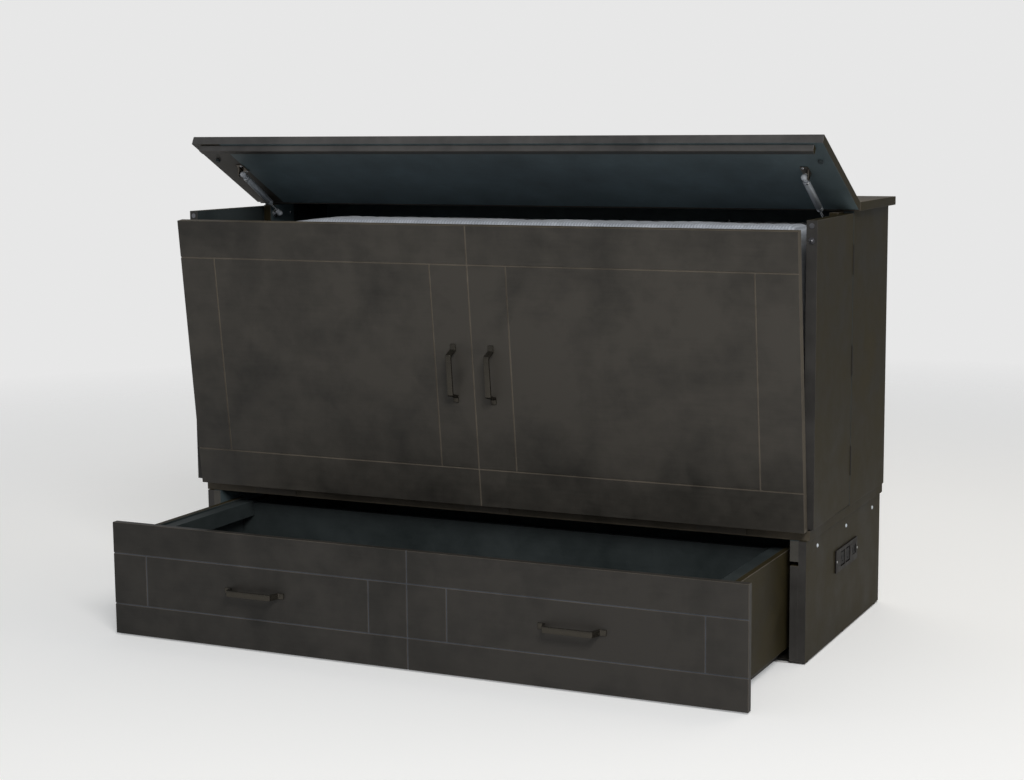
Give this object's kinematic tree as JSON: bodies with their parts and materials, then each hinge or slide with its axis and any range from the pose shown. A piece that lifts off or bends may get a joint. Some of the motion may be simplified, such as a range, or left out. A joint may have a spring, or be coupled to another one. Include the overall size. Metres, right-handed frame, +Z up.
{
  "type": "cabinet bed",
  "caption": "Free-standing murphy cabinet bed: lift-up lid on gas struts, swing-out wings, fold-down front panel, folded mattress and a full-width base drawer.",
  "frame": {"origin": "on the floor, on the middle of the width, under the middle glide of the base back board", "axes": "+X to the right along the width, -Y out of the front, +Y towards the wall, +Z up"},
  "size_m": [1.6669, 1.089, 1.196],
  "materials": {
    "stained_wood": "dark espresso stain with a satin lacquer",
    "inner_wood": "dark stained, matt",
    "mattress_cover": "quilted knitted cover",
    "bronze_metal": "dark bronze, satin",
    "zinc_steel": "zinc plated",
    "bright_steel": "bright nickel",
    "strut_grey": "light grey, satin",
    "outlet_bronze": "black-brown moulded plastic",
    "black_plastic": "moulded plastic",
    "rubber": "soft rubber"
  },
  "bodies": {
    "cabinet": {"base_side_left": "stained_wood", "base_side_right": "stained_wood", "base_linings": "stained_wood", "deck_cleats": "inner_wood", "base_back": "inner_wood", "floor_glides": "black_plastic", "base_bolts": "zinc_steel", "outlet_plate": "outlet_bronze", "outlet_box": "black_plastic", "power_sockets": "black_plastic", "usb_ports": "black_plastic", "outlet_screws": "zinc_steel", "slide_outer_members": "zinc_steel", "deck_board": "stained_wood", "cabinet_side_left": "stained_wood", "cabinet_side_right": "stained_wood", "cabinet_back": "inner_wood", "rear_rails": "inner_wood", "side_stiles": "stained_wood", "fixed_top": "stained_wood", "lid_hinge_fixed_leaves": "bronze_metal", "wing_hinge_fixed_leaves": "bronze_metal", "panel_hinge_fixed_leaves": "bronze_metal", "strut_lower_mounts": "bright_steel", "mattress_head": "mattress_cover", "mattress_middle": "mattress_cover", "mattress_foot": "mattress_cover"},
    "lid": {"lid_board": "stained_wood", "lid_fascia": "stained_wood", "lid_hinge_moving_leaves": "bronze_metal", "strut_upper_mounts": "bright_steel", "lid_bumpers": "rubber"},
    "front_panel": {"front_panel_board": "stained_wood", "door_pulls": "bronze_metal", "panel_hinge_moving_leaves": "bronze_metal", "strike_plates": "zinc_steel", "foot_deck_board": "inner_wood", "foot_hinges": "bronze_metal", "foot_legs": "inner_wood", "foot_leg_brackets": "zinc_steel"},
    "wing_left": {"wing_left_board": "stained_wood", "wing_left_hinge_leaves": "bronze_metal", "wing_left_catch": "bright_steel"},
    "wing_right": {"wing_right_board": "stained_wood", "wing_right_hinge_leaves": "bronze_metal", "wing_right_catch": "bright_steel"},
    "drawer": {"drawer_front": "stained_wood", "drawer_side_left": "stained_wood", "drawer_side_right": "stained_wood", "drawer_back": "inner_wood", "drawer_bottom": "inner_wood", "drawer_inner_rails": "inner_wood", "drawer_pulls": "bronze_metal", "slide_inner_members": "zinc_steel"},
    "slide_middle": {"slide_middle_members": "zinc_steel"},
    "strut_tube_left": {"strut_tube_left": "strut_grey"},
    "strut_tube_right": {"strut_tube_right": "strut_grey"},
    "strut_rod_left": {"strut_rod_left": "bright_steel"},
    "strut_rod_right": {"strut_rod_right": "bright_steel"}
  },
  "joints": [
    {"name": "lid_hinge", "type": "hinge", "parent": "cabinet", "child": "lid", "pos_m": [0, -0.308, 1.035], "axis": [-1, 0, 0], "range_deg": [-28, 22]},
    {"name": "front_panel_hinge", "type": "hinge", "parent": "cabinet", "child": "front_panel", "pos_m": [0, -0.629, 0.31], "axis": [1, 0, 0], "range_deg": [-6.3, 83.7]},
    {"name": "left_wing_hinge", "type": "hinge", "parent": "cabinet", "child": "wing_left", "pos_m": [-0.813, -0.307, 0.66], "axis": [0, 0, -1], "range_deg": [-4.7, 85.3]},
    {"name": "right_wing_hinge", "type": "hinge", "parent": "cabinet", "child": "wing_right", "pos_m": [0.813, -0.307, 0.66], "axis": [0, 0, 1], "range_deg": [-1, 89]},
    {"name": "drawer_slide", "type": "slide", "parent": "cabinet", "child": "drawer", "axis": [0, -1, 0], "range_m": [-0.385, 0.075]},
    {"name": "middle_slide", "type": "slide", "parent": "cabinet", "child": "slide_middle", "axis": [0, -1, 0], "range_m": [-0.1925, 0.0375]},
    {"name": "left_strut_tube_pivot", "type": "hinge", "parent": "lid", "child": "strut_tube_left", "pos_m": [-0.751, -0.50461, 1.09763], "axis": [1, 0, 0], "range_deg": [-0.3, 0.3]},
    {"name": "left_strut_rod_pivot", "type": "hinge", "parent": "cabinet", "child": "strut_rod_left", "pos_m": [-0.751, -0.332, 0.99], "axis": [-1, 0, 0], "range_deg": [-27.8, 21.9]},
    {"name": "right_strut_tube_pivot", "type": "hinge", "parent": "lid", "child": "strut_tube_right", "pos_m": [0.751, -0.50461, 1.09763], "axis": [1, 0, 0], "range_deg": [-0.3, 0.3]},
    {"name": "right_strut_rod_pivot", "type": "hinge", "parent": "cabinet", "child": "strut_rod_right", "pos_m": [0.751, -0.332, 0.99], "axis": [-1, 0, 0], "range_deg": [-27.8, 21.9]}
  ],
  "couplings": [
    {"joint": "middle_slide", "follows": "drawer_slide", "ratio": 0.5},
    {"joint": "left_strut_tube_pivot", "follows": "lid_hinge", "ratio": 0.01},
    {"joint": "left_strut_rod_pivot", "follows": "lid_hinge", "ratio": 0.99},
    {"joint": "right_strut_tube_pivot", "follows": "lid_hinge", "ratio": 0.01},
    {"joint": "right_strut_rod_pivot", "follows": "lid_hinge", "ratio": 0.99}
  ]
}
